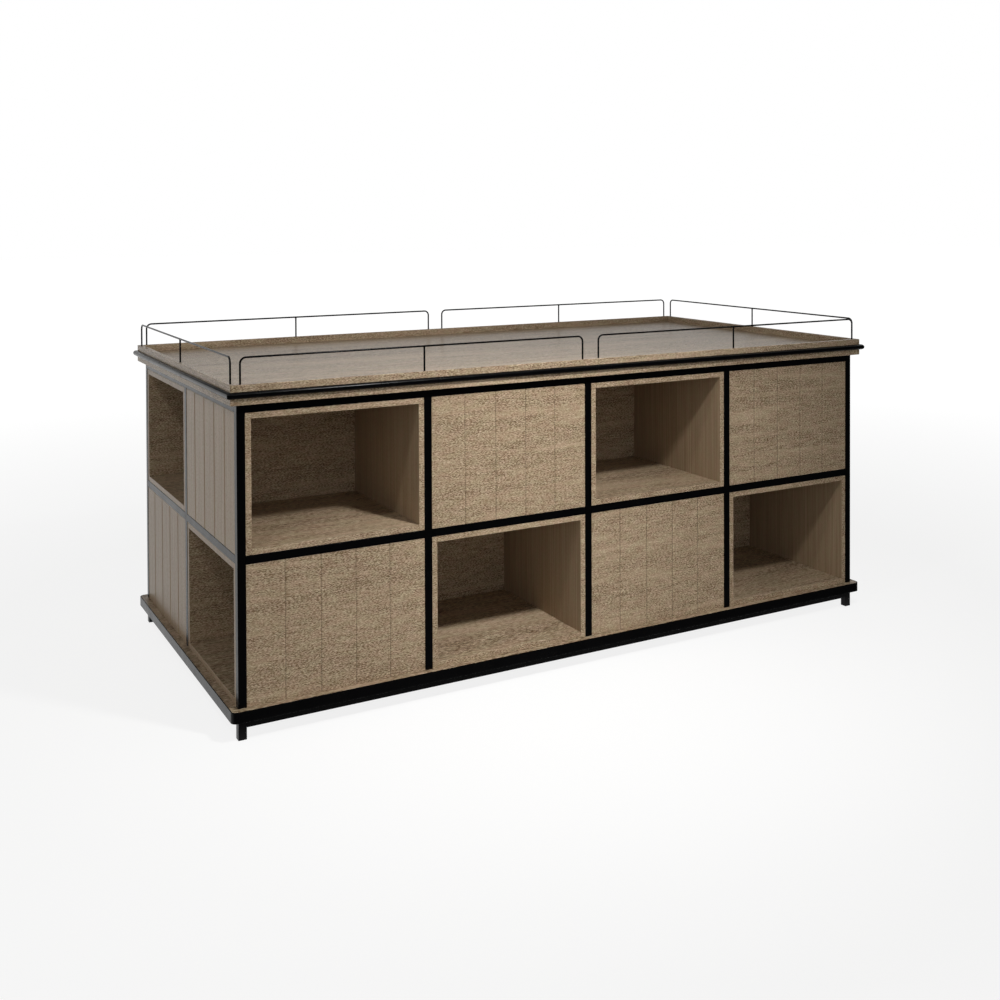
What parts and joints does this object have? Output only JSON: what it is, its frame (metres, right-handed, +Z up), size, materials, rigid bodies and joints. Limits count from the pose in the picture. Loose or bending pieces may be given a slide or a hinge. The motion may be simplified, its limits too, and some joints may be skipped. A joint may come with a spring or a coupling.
{
  "type": "retail display shelving",
  "caption": "Shop display island: black square-tube frame with open timber cubbies and grooved panels on every side, plinth on short legs, tray top with wire gallery rails",
  "frame": {"origin": "middle of the footprint, on the floor", "axes": "+X runs along the length to the right as seen from the front, +Y from the front to the rear, +Z up"},
  "size_m": [2.48, 1.29, 1.1223],
  "materials": {
    "black_metal": "black gloss powder coat on square steel tube, flat band and wire",
    "timber": "light oak veneer with a satin lacquer"
  },
  "bodies": {
    "root": {"base_board": "timber", "base_edge_band": "black_metal", "under_frame": "black_metal", "corner_post_front_left": "black_metal", "corner_post_front_right": "black_metal", "corner_post_rear_right": "black_metal", "corner_post_rear_left": "black_metal", "mid_rail_front": "black_metal", "top_rail_front": "black_metal", "upright_front_1": "black_metal", "upright_front_2": "black_metal", "upright_front_3": "black_metal", "panel_front_lower_1": "timber", "cubby_front_lower_2": "timber", "panel_front_lower_3": "timber", "cubby_front_lower_4": "timber", "cubby_front_upper_1": "timber", "panel_front_upper_2": "timber", "cubby_front_upper_3": "timber", "panel_front_upper_4": "timber", "fascia_front": "timber", "mid_rail_right": "black_metal", "top_rail_right": "black_metal", "upright_right_1": "black_metal", "panel_right_lower_1": "timber", "cubby_right_lower_2": "timber", "cubby_right_upper_1": "timber", "panel_right_upper_2": "timber", "fascia_right": "timber", "mid_rail_rear": "black_metal", "top_rail_rear": "black_metal", "upright_rear_1": "black_metal", "upright_rear_2": "black_metal", "upright_rear_3": "black_metal", "panel_rear_lower_1": "timber", "cubby_rear_lower_2": "timber", "panel_rear_lower_3": "timber", "cubby_rear_lower_4": "timber", "cubby_rear_upper_1": "timber", "panel_rear_upper_2": "timber", "cubby_rear_upper_3": "timber", "panel_rear_upper_4": "timber", "fascia_rear": "timber", "mid_rail_left": "black_metal", "top_rail_left": "black_metal", "upright_left_1": "black_metal", "panel_left_lower_1": "timber", "cubby_left_lower_2": "timber", "cubby_left_upper_1": "timber", "panel_left_upper_2": "timber", "fascia_left": "timber", "mid_deck": "timber", "top_deck": "timber", "fascia_bead": "black_metal"},
    "gallery_rail_front_1": {"gallery_rail_front_1": "black_metal"},
    "gallery_rail_front_2": {"gallery_rail_front_2": "black_metal"},
    "gallery_rail_right": {"gallery_rail_right": "black_metal"},
    "gallery_rail_rear_1": {"gallery_rail_rear_1": "black_metal"},
    "gallery_rail_rear_2": {"gallery_rail_rear_2": "black_metal"},
    "gallery_rail_left": {"gallery_rail_left": "black_metal"}
  },
  "joints": [
    {"name": "gallery_rail_front_1_lift", "type": "slide", "parent": "root", "child": "gallery_rail_front_1", "axis": [0, 0, 1], "range_m": [0, 0.02]},
    {"name": "gallery_rail_front_2_lift", "type": "slide", "parent": "root", "child": "gallery_rail_front_2", "axis": [0, 0, 1], "range_m": [0, 0.02]},
    {"name": "gallery_rail_right_lift", "type": "slide", "parent": "root", "child": "gallery_rail_right", "axis": [0, 0, 1], "range_m": [0, 0.02]},
    {"name": "gallery_rail_rear_1_lift", "type": "slide", "parent": "root", "child": "gallery_rail_rear_1", "axis": [0, 0, 1], "range_m": [0, 0.02]},
    {"name": "gallery_rail_rear_2_lift", "type": "slide", "parent": "root", "child": "gallery_rail_rear_2", "axis": [0, 0, 1], "range_m": [0, 0.02]},
    {"name": "gallery_rail_left_lift", "type": "slide", "parent": "root", "child": "gallery_rail_left", "axis": [0, 0, 1], "range_m": [0, 0.02]}
  ]
}
